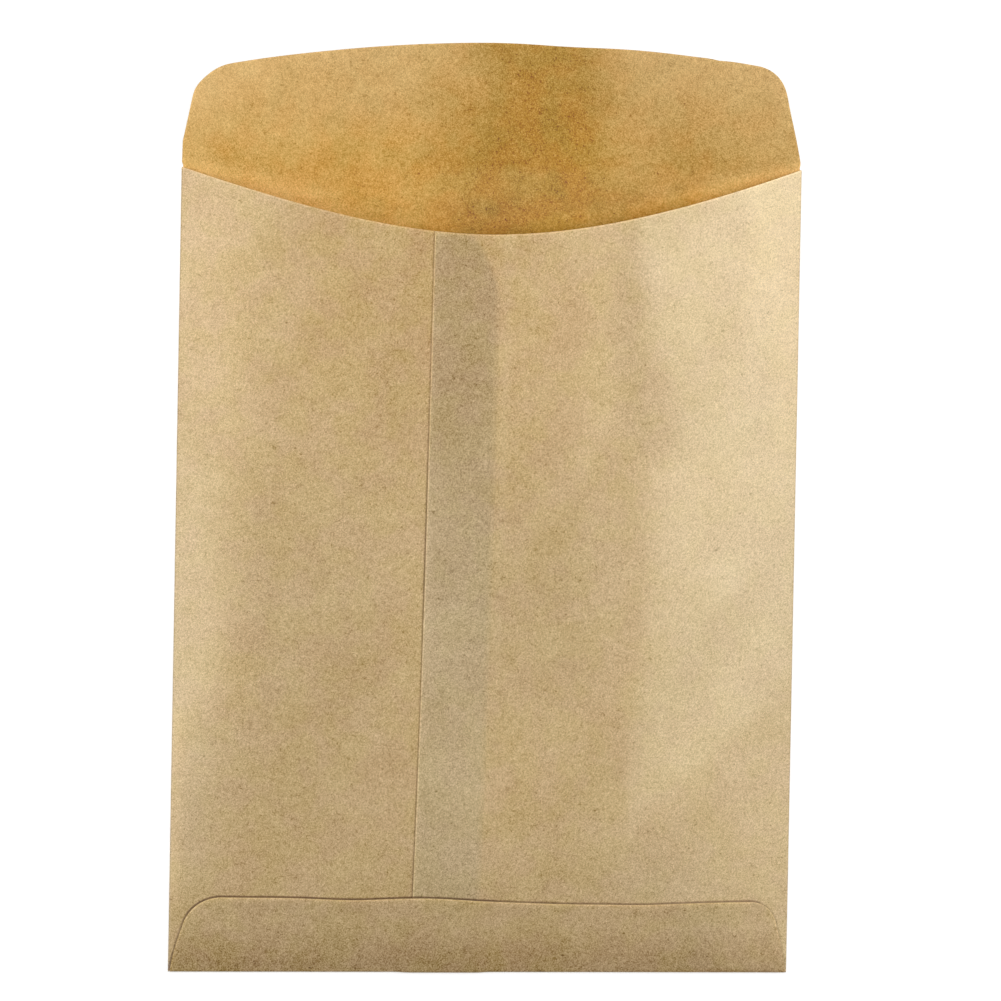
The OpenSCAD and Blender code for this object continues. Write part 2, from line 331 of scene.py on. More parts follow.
def inner_tone(x, y):
    """Level and paleness of the inner side: deeper in the middle and down in the throat, partly its
    own colour and partly painted shade, with painted light at the mouth.
    """
    up = np.clip((y - 120) / 28, 0, 1)
    down = smooth((127 - y) / 5)
    above_rim = y - throat_top(x)
    middle = smooth((x + 16) / 24) * smooth((28 - x) / 20)
    left = smooth((2 - x) / 16)
    level = 1.04 + 0.13 * left - 0.08 * middle * smooth((y - 122) / 6)
    level -= 0.08 * hill((x + 19) / 8) * smooth((y - 134) / 5)
    level -= (0.11 * hill(x / 7) + 0.05 * hill((x + 2) / 9) + 0.14 * hill((x - 23) / 7)) * down
    level += (0.05 * smooth((-x - 8) / 8) + 0.09 * hill((x - 15.6) / 5)) * hill((y - 131.5) / 3.5)
    level *= 1 + mouth_gain(x) * smooth(1 - above_rim / 3)
    pale = (0.03 + 0.62 * up) * (1 - middle) + 0.10 * up * middle
    pale += 0.15 * smooth((np.abs(x) - 6) / 12) * smooth(1 - above_rim / 4.5)
    pale += 0.10 * smooth((np.abs(x) - 40) / 8) * up + 0.04 * smooth((-x - 20) / 12)
    pale -= 0.06 * smooth((x + 4) / 8) * down + 0.08 * hill((x - 5) / 7) * hill((y - 140) / 7)
    return level, pale


def mouth_gain(x):
    """Light that the pocket's mouth gets back from its rim, more on the right."""
    left = 0.04 * smooth((-x - 8) / 28)
    right = 0.14 * smooth((x - 2) / 8) + 0.08 * smooth((x - 16) / 12) - 0.14 * smooth((x - 35) / 12)
    return 0.10 + left + right


def corner(h, slant, r, arch_r):
    """A flap's round corner, from its slanted side to its arch: centre, first and last angle."""
    start = np.array([FLAT_W - r * math.cos(slant), arch_r - h - r * math.sin(slant)])
    way = np.array([-math.sin(slant), math.cos(slant)])
    along = start @ way
    centre = start + way * (math.sqrt(along ** 2 - start @ start + (arch_r - r) ** 2) - along)
    last = math.atan2(centre[1], centre[0])
    return centre - [0, arch_r - h], slant, last


def corner_point(bend, r, share):
    centre, first, last = bend
    turn = first + (last - first) * share
    return centre + r * stack(np.cos(turn), np.sin(turn))


# Each flap's left and right corner; the bottom flap's right one is tighter
tuck_bends = [
    (corner(TUCK_H, TUCK_SLANT, TUCK_CORNER_R, STRAIGHT_R), TUCK_CORNER_R),
    (corner(TUCK_H, TUCK_RIGHT_SLANT, TUCK_RIGHT_R, STRAIGHT_R), TUCK_RIGHT_R),
]
flap_bends = [(corner(FLAP_H, FLAP_SLANT, FLAP_CORNER_R, FLAP_ARCH_R), FLAP_CORNER_R)] * 2
ARCH_X = min(corner_point(bend, r, 1.0)[0] for bend, r in tuck_bends + flap_bends)
CORNER_ZONE = FLAT_W - ARCH_X + CORNER_GAP


def spread(start, end, count, ease=1.0):
    """Places after start up to end, closer together near start where ease is over 1."""
    return start + (end - start) * (np.arange(1, count + 1) / count) ** ease


def columns(y):
    """Where the sheet's columns cross height y, from the left side fold to the right one."""
    inner = FLAT_W - CORNER_ZONE
    over, under = over_edge(y), under_edge(y)
    side = FLAT_W - np.append(0, spread(0, CORNER_ZONE, CORNER_STEPS + 1, 1.5))
    return np.concatenate([
        -side,
        spread(-inner, over - SEAM_STEP, PLAIN_STEPS),
        spread(over - SEAM_STEP, over, 4),
        spread(over, over + GLUE_MARGIN, 4, 1.4),
        spread(over + GLUE_MARGIN, under, 10),
        spread(under, under + SEAM_STEP, 5, 1.3),
        spread(under + SEAM_STEP, inner, PLAIN_STEPS + 4),
        side[-2::-1],
    ])


low_columns = columns(0.0)
high_columns = columns(BODY_H)
COLS = len(low_columns) - 1
C_OVER = CORNER_STEPS + 1 + PLAIN_STEPS + 4
C_UNDER = C_OVER + 14


def column_x(c, y):
    return low_columns[c] + (high_columns[c] - low_columns[c]) * y / BODY_H


def row_y(k, top):
    """Height of row k on a panel that ends at height top; its first rows lie under the bottom flap."""
    in_tuck = TUCK_H * np.minimum(1, k / TUCK_ROWS) ** 1.4
    above = np.maximum(0, k - TUCK_ROWS) / PANEL_ROWS
    return np.where(k < TUCK_ROWS, in_tuck, TUCK_H + (top - TUCK_H) * above)


def along_fold(middle, axes):
    """Distance run along axis 0 of a grid of points, measured in the given axes."""
    steps = np.linalg.norm(np.diff(middle[..., axes], axis=0), axis=-1)
    return np.concatenate([np.zeros((1,) + steps.shape[1:]), np.cumsum(steps, axis=0)])


def front_patch():
    c, k = np.arange(COLS + 1)[None, :], np.arange(ROWS + 1)[:, None]
    y = row_y(k, BODY_H)
    x = column_x(c, y)
    front = patch(stack(x, y, HALF_T), stack(0 * x + 0 * y, 0.0, 1.0))
    front[..., FLAT] = front[..., :2]
    return front


def side_fold(side):
    """Patch of a side fold: the arc round which the sheet turns from the front to the back."""
    y = row_y(np.arange(ROWS + 1), BODY_H)
    j = np.arange(FOLD_STEPS + 1)[:, None]
    turn = (math.pi - np.arctan(fold_slope(y))) * j / FOLD_STEPS - math.pi / 2
    out = stack(side * np.cos(turn), 0.0, np.sin(turn))
    middle = stack(side * FLAT_W, y + 0 * turn, HALF_T + FOLD_MID_R) + FOLD_MID_R * out
    middle[..., 1] -= CORNER_FILL * np.sin(math.pi * j / FOLD_STEPS) * np.clip(1 - y / 1.5, 0, 1)
    fold = patch(middle, -out)
    tone = np.stack(back_tone(side * FLAT_W, y), axis=-1)
    share = smooth(np.arange(FOLD_STEPS + 1) / FOLD_STEPS)[:, None, None]
    fold[..., LEVEL:PALE + 1] += (tone - fold[..., LEVEL:PALE + 1]) * share
    return fold


def panel(column_list, top, height, lap):
    """Patch of a back panel, column by column away from its side fold."""
    c = np.array(column_list)[:, None]
    k = np.arange(ROWS + 1)[None, :]
    y = row_y(k, top(high_columns[c]))
    x = column_x(c, y)
    grid = raised(x, y, height)
    level, pale = back_tone(x, y)
    times, more = lap_tone(y)
    grid[..., LEVEL] = level * (1 + (times - 1) * lap(x, y))
    grid[..., PALE] = pale + more * lap(x, y)
    return grid


def finish_side(wing, side):
    """Gives a side wing its place on the flat blank and the painted shadow line in the gap under the
    bottom flap's edge.
    """
    run = along_fold(wing[..., MIDDLE], [0, 2])
    wing[..., 6] = side * (FLAT_W + run)
    wing[..., 7] = wing[..., 1]
    x, y = wing[..., 0], wing[..., 1]
    wing[..., FLAP_GAP] = past_line(x, y, *whole_outline())
    # Strength of the painted shadow line: weaker on the right, none past the right corner, less low
    # down at the left side
    dark = (1 - 0.25 * smooth((x - 1) / 4)) * (1 - 0.85 * smooth((x - 45) / 1.5))
    wing[..., FLAP_SHADOW] = dark - 0.6 * hill((y - 5.2) / 2.4) * smooth((-46 - x) / 2)
    return wing


def past_line(x, y, line_x, line_y):
    """Distance from a line that runs from left to right, negative below it."""
    start = np.stack([line_x[:-1], line_y[:-1]], axis=-1)
    way = np.diff(np.stack([line_x, line_y], axis=-1), axis=0)
    at = np.stack([x, y], axis=-1)[..., None, :]
    share = np.clip(((at - start) * way).sum(-1) / (way ** 2).sum(-1), 0, 1)
    away = np.linalg.norm(at - start - share[..., None] * way, axis=-1).min(-1)
    return np.where(y > np.interp(x, line_x, line_y, left=-1, right=-1), away, -away)


def seam_lap(x, y):
    """1 on the upper panel where the under panel lies beneath it and shows through."""
    into = np.clip((x - under_edge(y)) / 5.0 + 1, 0, 1)
    top = throat_top(x) - 9.5 * into ** 1.6
    return smooth((under_edge(y) - x) / 1.1 + 0.5) * smooth((top - y) / 1.8 + 0.5)


def no_lap(x, y):
    return 0 * x


def left_wing():
    """Patch of the left side fold and the under panel, with the marks of the painted shadow line in
    the gap at the seam.
    """
    grid = panel(range(1, C_UNDER + 1), under_top, back_height, no_lap)
    x, y = grid[..., 0], grid[..., 1]
    # Less painted highlight: the throat's rim is less bright on the left
    grid[:, -1, LEVEL] -= 0.11 * smooth((-x[:, -1] - 18) / 14)
    grid[..., SEAM_GAP] = over_edge(y) - x
    # Strength of the painted shadow line beside the seam's edge
    dark = 0.22 + 0.30 * hill((y - 67) / 9) - 0.22 * hill((y - 44) / 9)
    grid[..., SEAM_SHADOW] = dark * smooth((100 - y) / 24)
    return finish_side(np.concatenate([side_fold(-1), grid]), -1)[:, ::-1]


def right_wing():
    """Patch of the right side fold and the upper panel, which shows the under panel's lap."""
    grid = panel(range(COLS - 1, C_OVER - 1, -1), throat_top, over_height, seam_lap)
    # Painted highlight: the seam's edge is brighter near the throat
    grid[-1, :, LEVEL] += 0.12 * smooth((grid[-1, :, 1] - 62) / 30)
    return finish_side(np.concatenate([side_fold(1), grid]), 1)


def free_edge(c, h, bends, arch_r, x):
    """End of each column on a flap's free edge, measured from the middle of its fold."""
    from_side = np.minimum(c, COLS - c)
    share = np.minimum(1, from_side / CORNER_STEPS)
    left, right = (corner_point(bend, r, share) for bend, r in bends)
    rounded = np.where(2 * c[..., None] < COLS, left * [-1, 1], right)
    in_corner = from_side <= CORNER_STEPS
    end_x = np.where(in_corner, rounded[..., 0], x)
    end_y = np.where(in_corner, rounded[..., 1], h - arch_r + np.sqrt(arch_r ** 2 - x * x))
    return end_x, end_y


def flap_outline():
    """The bottom flap's free edge, from left to right."""
    c = np.arange(COLS + 1)
    end_x, end_y = free_edge(c, TUCK_H, tuck_bends, STRAIGHT_R, column_x(c, TUCK_H))
    end_y = end_y - math.tan(TUCK_TILT) * end_x + tuck_edge(end_x) * (end_y / TUCK_H)
    return end_x, end_y


def tuck_side(end_x, end_y):
    """The bottom flap's left side, from the bottom fold to its round corner."""
    share = np.arange(TUCK_ROWS) / TUCK_ROWS
    return end_x * share ** SIDE_EASE - FLAT_W * (1 - share ** SIDE_EASE), end_y * share ** ROW_EASE


def whole_outline():
    """The bottom flap's outline with both sides, from left to right."""
    end_x, end_y = flap_outline()
    left_x, left_y = tuck_side(end_x[0], end_y[0])
    right_x, right_y = tuck_side(-end_x[-1], end_y[-1])
    line_x = np.concatenate([left_x, end_x, -right_x[::-1]])
    return line_x, np.concatenate([left_y, end_y, right_y[::-1]])


def tuck_wing():
    """Patch of the bottom fold and the bottom flap, away from the front panel."""
    x = low_columns
    r = (tuck_height(x, 0 * x) - HALF_T) / 2
    leave = np.arctan(POCKET_RISE * POCKET_SWELL / POCKET_RUN * section(x))
    turn = (math.pi - leave) * np.arange(FOLD_STEPS + 1)[:, None] / FOLD_STEPS
    middle = stack(x, -r * np.sin(turn), HALF_T + r - r * np.cos(turn))
    normal = stack(0 * turn, np.sin(turn), np.cos(turn))
    fold = patch(middle, normal)
    share = smooth(np.arange(FOLD_STEPS + 1) / FOLD_STEPS)[:, None]
    level, pale = flap_tone(0.0)
    fold[..., LEVEL] += (level - fold[..., LEVEL]) * share
    fold[..., PALE] += (pale - fold[..., PALE]) * share
    end_x, end_y = flap_outline()
    share = np.arange(1, TUCK_ROWS + 1)[:, None] / TUCK_ROWS
    at_x = x + (end_x - x) * share ** SIDE_EASE
    at_y = end_y * share ** ROW_EASE
    grid = raised(at_x, at_y, tuck_height)
    grid[..., LEVEL], grid[..., PALE] = flap_tone(at_y)
    # Painted light and sheen on the right of the bottom flap, a little darker over the seam's lap and
    # in a patch near x = 36
    right = smooth((at_x - 26) / 16)
    grid[..., LEVEL] += 0.07 * right - 0.03 * seam_lap(at_x, at_y) - 0.07 * hill((at_x - 36) / 4)
    # A bright band along the free edge: partly its paler cut fibres, partly a painted highlight
    grid[..., LEVEL] += 0.12 * smooth((share - 0.93) / 0.04)
    # The right side and corner have no bright edge: the painted highlight is taken off them
    grid[:, -2:, LEVEL] -= 0.14
    grid[-1, -CORNER_STEPS:, LEVEL] -= 0.22
    grid[..., PALE] += 0.09 * right
    wing = np.concatenate([fold, grid])
    wing[..., 6] = wing[..., 0]
    wing[..., 7] = -along_fold(wing[..., MIDDLE], [1, 2])
    return wing


def flap_height(x, y):
    """Rise of the opened flap at distance y above the score line."""
    climb = math.tan(FLAP_SPRING) + FLAP_CROWN / FLAP_H * (1 - (x / FLAT_W) ** 2)
    waves = 0.10 * np.sin(x / 8.3 + 0.7) + 0.07 * np.sin(x / 4.9 + 2.2)
    return HALF_T + y * climb + waves * smooth(y / FLAP_H)


def side_drift(x, y):
    """How far the opened flap's sides stray from straight lines, y above the score line."""
    left = (0.98 - 0.035 * np.clip(y - 4, 0, 9)) * (1 - 0.8 * smooth((y - 12.5) / 3.5))
    left = -np.minimum(left, 0.27 + math.tan(FLAP_SLANT) * y) * smooth(y / 0.9)
    right = 0.33 * smooth(y / 1.2) * (1 - smooth((y - 1.5) / 8)) - 0.30 * hill((y - 12) / 2.4)
    near = smooth(1 - (FLAT_W - np.abs(x)) / 9)
    return np.where(x < 0, left, right) * near


def flap_wing():
    """Patch of the opened top flap, with the nicks and waves of its free edge."""
    c = np.arange(COLS + 1)
    end_x, end_y = free_edge(c, FLAP_H, flap_bends, FLAP_ARCH_R, high_columns)
    nick = -0.22 * hill((end_x - 35.9) / 0.5) - 0.10 * hill((end_x - 37.6) / 0.4)
    end_y = end_y + nick - 0.02 - 0.12 * np.abs(end_x) / FLAT_W - 0.32 * hill((end_x - 12) / 5.5)
    end_y += 0.10 * smooth((end_x - 32) / 4) + 0.10 * hill((end_x + 38) / 6)
    share = np.arange(FLAP_ROWS + 1)[:, None] / FLAP_ROWS
    x = high_columns + (end_x - high_columns) * share
    y = end_y * share ** 1.1 * math.cos(FLAP_SPRING)
    x = x + side_drift(high_columns, y)
    slope_x = (flap_height(x + SLOPE_STEP, y) - flap_height(x - SLOPE_STEP, y)) / (2 * SLOPE_STEP)
    slope_y = (flap_height(x, y + SLOPE_STEP) - flap_height(x, y)) / SLOPE_STEP
    normal = unit(stack(-slope_x, -slope_y, 1.0))
    flap = patch(stack(x, BODY_H + y, flap_height(x, y)), normal)
    flap[..., FLAT] = flap[..., :2]
    return flap


class Sheet:
    """Collects the patches of the folded sheet, with the points that they share."""

    def __init__(self, front):
        self.points = [front.reshape(-1, front.shape[-1])]
        self.count = self.points[0].shape[0]
        self.grids = [np.arange(self.count).reshape(front.shape[:2])]

    def add(self, first_row, wing):
        """Adds a wing whose first row of points is a row that the sheet already has."""
        fresh = wing[1:].reshape(-1, wing.shape[-1])
        ids = self.count + np.arange(fresh.shape[0]).reshape(wing.shape[0] - 1, wing.shape[1])
        self.points.append(fresh)
        self.count += fresh.shape[0]
        self.grids.append(np.concatenate([first_row[None, :], ids]))


def rim(ids):
    """A wing's cut edge, once round it from the start of its first row."""
    return np.concatenate([ids[:-1, 0], ids[-1, :-1], ids[:0:-1, -1]])


def quads(ids):
    a, b = ids[:-1, :-1].ravel(), ids[:-1, 1:].ravel()
    c, d = ids[1:, 1:].ravel(), ids[1:, :-1].ravel()
    return np.stack([a, b, c, d], axis=1)


def fold_sheet():
    """The whole sheet: points, quads seen from the inner side, and the loop of its cut edge."""
    sheet = Sheet(front_patch())
    front = sheet.grids[0]
    sheet.add(front[0, :], tuck_wing())
    sheet.add(front[:, -1], right_wing())
    sheet.add(front[-1, ::-1], flap_wing()[:, ::-1])
    sheet.add(front[::-1, 0], left_wing())
    front_quads = quads(front)
    wing_quads = [quads(ids)[:, ::-1] for ids in sheet.grids[1:]]
    edge = np.concatenate([rim(ids) for ids in sheet.grids[1:]])
    return np.concatenate(sheet.points), np.concatenate([front_quads] + wing_quads), edge


def from_cut(places, loop):
    """Distance on the flat blank from the sheet's cut edge."""
    dense = []
    for start, end in zip(loop, np.roll(loop, -1, axis=0)):
        steps = max(1, math.ceil(np.linalg.norm(end - start) / 0.2))
        dense.append(start + (end - start) * np.arange(steps)[:, None] / steps)
    dense = np.concatenate(dense)
    tree = KDTree(len(dense))
    for i, (u, v) in enumerate(dense):
        tree.insert((u, v, 0.0), i)
    tree.balance()
    return np.array([tree.find((u, v, 0.0))[2] for u, v in places])


def keep(mesh, name, values):
    """Keeps one vector for each point of the mesh."""
    attribute = mesh.attributes.new(name, "FLOAT_VECTOR", "POINT")
    attribute.data.foreach_set("vector", values.ravel())


def make_envelope():
    points, inner, edge = fold_sheet()
    count = len(points)
    offset = HALF_T * points[:, NORMAL]
    places = np.concatenate([points[:, MIDDLE] + offset, points[:, MIDDLE] - offset])
    places[:, 1] += SHIFT_Y
    outer = inner[:, ::-1] + count
    following = np.roll(edge, -1)
    wall = np.stack([edge + count, following + count, following, edge], axis=1)
    faces = np.concatenate([inner, outer, wall])
    mesh = bpy.data.meshes.new("kraft_envelope")
    mesh.from_pydata((places * MM).tolist(), [], faces.tolist())
    side = np.repeat([0, 1, 2], [len(inner), len(outer), len(wall)]).astype(np.int32)
    mesh.polygons.foreach_set("material_index", side)
    blank = points[:, FLAT]
    inner_marks = np.tile(PLAIN_MARKS, (count, 1))
    inner_marks[:, 0], inner_marks[:, 1] = inner_tone(blank[:, 0], blank[:, 1])
    marks = np.concatenate([inner_marks, points[:, LEVEL:]])
    which_side = np.repeat([0.37, 60.83], count)
    blank = np.concatenate([blank, blank])
    cut = np.tile(from_cut(points[:, FLAT], points[edge, FLAT]), 2)
    keep(mesh, "sheet", stack(blank[:, 0], blank[:, 1], which_side))
    keep(mesh, "tone", stack(marks[:, 0], marks[:, 1], cut))
    keep(mesh, "flap_gap", stack(marks[:, 2], marks[:, 3], 0.0))
    keep(mesh, "seam_gap", stack(marks[:, 4], marks[:, 5], 0.0))
    mesh.validate()
    mesh.shade_smooth()
    mesh.set_sharp_from_angle(angle=math.radians(50))
    mesh.update()
    return bpy.data.objects.new("kraft_envelope", mesh)


class Nodes:
    """Short calls that build one material's node tree."""

    def __init__(self, name):
        self.material = bpy.data.materials.new(name)
        self.material.use_nodes = True
        self.tree = self.material.node_tree
        self.tree.nodes.clear()

    def add(self, kind, **settings):
        node = self.tree.nodes.new(kind)
        for key, value in settings.items():
            setattr(node, key, value)
        return node

    def put(self, value, socket):
        if isinstance(value, bpy.types.NodeSocket):
            self.tree.links.new(value, socket)
        elif isinstance(value, tuple) and socket.type == "VECTOR":
            socket.default_value = value[:3]
        else:
            socket.default_value = value

    def attribute(self, name, output):
        return self.add("ShaderNodeAttribute", attribute_name=name).outputs[output]

    def math(self, operation, *values):
        node = self.add("ShaderNodeMath", operation=operation)
        for value, socket in zip(values, node.inputs):
            self.put(value, socket)
        return node.outputs[0]

    def step(self, value, start, end):
        """A smooth step of value, from 0 at start to 1 at end."""
        node = self.add("ShaderNodeMapRange", interpolation_type="SMOOTHSTEP")
        self.put(value, node.inputs["Value"])
        self.put(start, node.inputs["From Min"])
        self.put(end, node.inputs["From Max"])
        return node.outputs[0]

    def parts(self, vector):
        """The three numbers of a vector."""
        node = self.add("ShaderNodeSeparateXYZ")
        self.put(vector, node.inputs[0])
        return node.outputs[:]

    def moved(self, place, angle, shift):
        """Coordinates turned in the sheet's plane and shifted."""
        node = self.add("ShaderNodeMapping", vector_type="POINT")
        self.put(place, node.inputs["Vector"])
        node.inputs["Rotation"].default_value = (0.0, 0.0, angle)
        node.inputs["Location"].default_value = shift
        return node.outputs[0]

    def noise(self, place, scale, detail=0.0, roughness=0.5, distortion=0.0):
        node = self.add("ShaderNodeTexNoise")
        self.put(place, node.inputs["Vector"])
        node.inputs["Scale"].default_value = scale
        node.inputs["Detail"].default_value = detail
        node.inputs["Roughness"].default_value = roughness
        node.inputs["Distortion"].default_value = distortion
        return node.outputs[0]

    def mix(self, factor, a, b, blend="MIX"):
        node = self.add("ShaderNodeMix", data_type="RGBA", blend_type=blend)
        self.put(factor, node.inputs[0])
        self.put(a, node.inputs[6])
        self.put(b, node.inputs[7])
        return node.outputs[2]

    def scaled(self, tone, factor):
        node = self.add("ShaderNodeVectorMath", operation="SCALE")
        self.put(tone, node.inputs[0])
        self.put(factor, node.inputs["Scale"])
        return node.outputs[0]

    def added(self, tone, more):
        node = self.add("ShaderNodeVectorMath", operation="ADD")
        self.put(tone, node.inputs[0])
        self.put(more, node.inputs[1])
        return node.outputs[0]

    def swing(self, noise, amount, level):
        """Level plus the noise's swing about its middle, times amount."""
        return self.math("MULTIPLY_ADD", self.math("SUBTRACT", noise, 0.5), amount, level)


def colour(r, g, b):
    """Linear colour with alpha from display values of 0 to 255."""
    shown = np.array([r, g, b]) / 255
    return (*((shown + 0.055) / 1.055) ** 2.4, 1.0)


# Kraft: its two ground colours, the pale colour of its cloudy thin places that also gives painted
# sheen, and how its grain adds
OUTER_BASE = colour(180, 146, 98)
OUTER_TINT = colour(179, 148, 91)
OUTER_PALE = colour(240, 222, 180)
OUTER_GRAIN = (0.56, 0.45, 0.31)
INNER_BASE = colour(178, 134, 30)
INNER_TINT = colour(183, 130, 10)
INNER_PALE = colour(215, 180, 122)
INNER_GRAIN = (0.56, 0.41, 0.20)
EDGE_BASE = colour(190, 163, 120)
EDGE_TINT = colour(174, 147, 104)
# Colour of the painted shadow line past the edges of the bottom flap and the seam
GAP_SHADOW_TINT = (0.33, 0.26, 0.20, 1.0)

# How cloudy each side is, and how bright its cut edge, whose pale band is partly its paler fibres and
# partly a painted highlight
OUTER_CLOUDY, OUTER_RIM = 1.0, 0.25
INNER_CLOUDY, INNER_RIM = 2.1, 0.08

# Strength of the tooth, the fibres and the specks, the same on both sides
TOOTH = 1.8
DARK_FIBRE = -0.18
LIGHT_FIBRE = 0.12
SPECK = -0.28

# Surface of uncoated paper
ROUGHNESS = 0.45
SPECULAR = 0.8
BUMP_STRENGTH = 0.5
BUMP_HEIGHT = 0.000015


def fibres(nodes, place, seed, scale, thin, share):
    """Curly fibres: contour lines of a soft noise, broken into short pieces by another."""
    field_place = nodes.moved(place, 0.7 * seed, (31.0 * seed, 17.0 * seed, 9.0 * seed))
    field = nodes.noise(field_place, scale, detail=1.0, roughness=0.6, distortion=0.4)
    off_line = nodes.math("ABSOLUTE", nodes.math("SUBTRACT", field, 0.5))
    line = nodes.step(off_line, thin, 0.3 * thin)
    piece_place = nodes.moved(place, 1.3 * seed, (7.0, 43.0 * seed, 5.0 * seed))
    piece = nodes.noise(piece_place, 1.6 * scale)
    return nodes.math("MULTIPLY", line, nodes.step(piece, share, share + 0.06))


def painted_gap_shadow(nodes, name, reach, broken):
    """Painted shadow: a dark line on what lies beneath, close past the edge of what lies on top."""
    distance, dark, _ = nodes.parts(nodes.attribute(name, "Vector"))
    end = nodes.swing(broken, 0.25, reach)
    beyond = nodes.step(distance, -0.3, -0.1)
    line = nodes.math("MULTIPLY", nodes.step(distance, end, 0.4 * reach), beyond)
    return nodes.math("MULTIPLY", line, dark)


def paper(name, base, tint, pale_tone, grain_tone, cloudy, cut_pale):
    """Uncoated kraft: cloudy formation, fine tooth, curly fibres and a few dark specks, with the
    painted light, shade and shadow lines that its tone marks carry.
    """
    nodes = Nodes(name)
    place = nodes.attribute("sheet", "Vector")
    level, pale, cut = nodes.parts(nodes.attribute("tone", "Vector"))
    cloud = nodes.noise(place, 0.11, detail=2.0, roughness=0.55)
    mottle = nodes.noise(place, 0.34, detail=3.0, roughness=0.62)
    grain = nodes.noise(nodes.moved(place, 0.5, (3.0, 8.0, 1.3)), 1.2, detail=1.0, roughness=0.5)
    tooth = nodes.noise(nodes.moved(place, 1.1, (5.0, 2.0, 4.7)), 5.0, detail=2.0, roughness=0.75)
    dark = nodes.math(
        "MAXIMUM",
        fibres(nodes, place, 1, 0.62, 0.018, 0.54),
        fibres(nodes, place, 2, 0.50, 0.016, 0.55),
    )
    light = fibres(nodes, place, 3, 0.6, 0.020, 0.54)
    speck = nodes.step(nodes.noise(place, 1.9), 0.80, 0.84)
    broken = nodes.noise(place, 1.1, detail=1.0)

    # A paler band along the cut edge: partly the paler cut fibres, partly a painted highlight
    ragged = nodes.swing(broken, 0.6, cut_pale)
    rim = nodes.math("MULTIPLY_ADD", nodes.step(cut, 0.34, 0.12), ragged, 1.0)
    rim = nodes.math("MULTIPLY_ADD", nodes.step(cut, 1.6, 0.2), 0.2 * cut_pale, rim)
    level = nodes.math("MULTIPLY", level, rim)
    fine = nodes.swing(mottle, 0.13 * cloudy, 0.0)
    fine = nodes.swing(cloud, 0.05 * cloudy ** 2, fine)
    fine = nodes.swing(grain, 0.05 + 0.12 * cloudy, fine)
    fine = nodes.swing(tooth, TOOTH, fine)
    fine = nodes.math("MULTIPLY_ADD", dark, DARK_FIBRE, fine)
    fine = nodes.math("MULTIPLY_ADD", light, LIGHT_FIBRE, fine)
    fine = nodes.math("MULTIPLY_ADD", speck, SPECK, fine)

    hue = nodes.noise(nodes.moved(place, 0.4, (70.0, 20.0, 5.0)), 0.22, detail=1.5, roughness=0.5)
    tone = nodes.mix(nodes.step(hue, 0.36, 0.64), base, tint)
    tone = nodes.mix(nodes.swing(cloud, 0.25, pale), tone, pale_tone)
    tone = nodes.scaled(tone, level)
    tone = nodes.added(tone, nodes.scaled(grain_tone, fine))
    # Painted shadow lines past the edges of the bottom flap and the seam
    gap = nodes.math(
        "MAXIMUM",
        painted_gap_shadow(nodes, "flap_gap", 0.42, broken),
        painted_gap_shadow(nodes, "seam_gap", 0.26, broken),
    )
    tone = nodes.mix(gap, tone, nodes.mix(1.0, tone, GAP_SHADOW_TINT, "MULTIPLY"))
    height = nodes.math("MULTIPLY_ADD", dark, 0.25, tooth)
    finish_paper(nodes, tone, height)
    return nodes.material


def finish_paper(nodes, tone, height):
    """The shader and output of a paper material, from its colour and its fine relief."""
    shader = nodes.add("ShaderNodeBsdfPrincipled")
    nodes.put(tone, shader.inputs["Base Color"])
    shader.inputs["Roughness"].default_value = ROUGHNESS
    shader.inputs["Specular IOR Level"].default_value = SPECULAR
    bump = nodes.add("ShaderNodeBump")
    bump.inputs["Strength"].default_value = BUMP_STRENGTH
    bump.inputs["Distance"].default_value = BUMP_HEIGHT
    nodes.put(height, bump.inputs["Height"])
    nodes.put(bump.outputs[0], shader.inputs["Normal"])
    output = nodes.add("ShaderNodeOutputMaterial")
    nodes.put(shader.outputs[0], output.inputs["Surface"])


def cut_edge(name, base, tint):
    """The cut edge of the sheet: a little paler, with the ends of the fibres, and scaled by the tone's
    level, which carries painted light and shade.
    """
    nodes = Nodes(name)
    place = nodes.attribute("sheet", "Vector")
    ends = nodes.noise(place, 2.6, detail=2.0, roughness=0.6)
    tone = nodes.mix(nodes.step(ends, 0.3, 0.7), base, tint)
    tone = nodes.scaled(tone, nodes.parts(nodes.attribute("tone", "Vector"))[0])
    finish_paper(nodes, tone, ends)
    return nodes.material


FLOOR_SIZE = 8.0
FLOOR_GAP = 0.00002
FLOOR_COLOUR = (0.8, 0.8, 0.8, 1.0)
FLOOR_GLOW = 0.45


def make_floor():
    """A white sheet of floor that looks white to the camera but keeps the object's shadow."""
    half = FLOOR_SIZE / 2
    mesh = bpy.data.meshes.new("floor")
    corners = [(-half, -half), (half, -half), (half, half), (-half, half)]
    mesh.from_pydata([(x, y, -FLOOR_GAP) for x, y in corners], [], [(0, 1, 2, 3)])
    nodes = Nodes("floor_white")
    diffuse = nodes.add("ShaderNodeBsdfDiffuse")
    diffuse.inputs["Color"].default_value = FLOOR_COLOUR
    glow = nodes.add("ShaderNodeEmission")
    nodes.put(seen_directly(nodes, FLOOR_GLOW), glow.inputs["Strength"])
    both = nodes.add("ShaderNodeAddShader")
    nodes.put(diffuse.outputs[0], both.inputs[0])
    nodes.put(glow.outputs[0], both.inputs[1])
    output = nodes.add("ShaderNodeOutputMaterial")
    nodes.put(both.outputs[0], output.inputs["Surface"])
    mesh.materials.append(nodes.material)
    floor = bpy.data.objects.new("floor", mesh)
    bpy.context.scene.collection.objects.link(floor)


def seen_directly(nodes, strength):
    """Strength for rays from the camera, a mirror or clear glass, and 0 for the light itself."""
    path = nodes.add("ShaderNodeLightPath")
    seen = path.outputs["Is Camera Ray"]
    for name in ("Is Glossy Ray", "Is Transmission Ray"):
        seen = nodes.math("MAXIMUM", seen, path.outputs[name])
    return nodes.math("MULTIPLY", seen, strength)


AMBIENT = 0.18
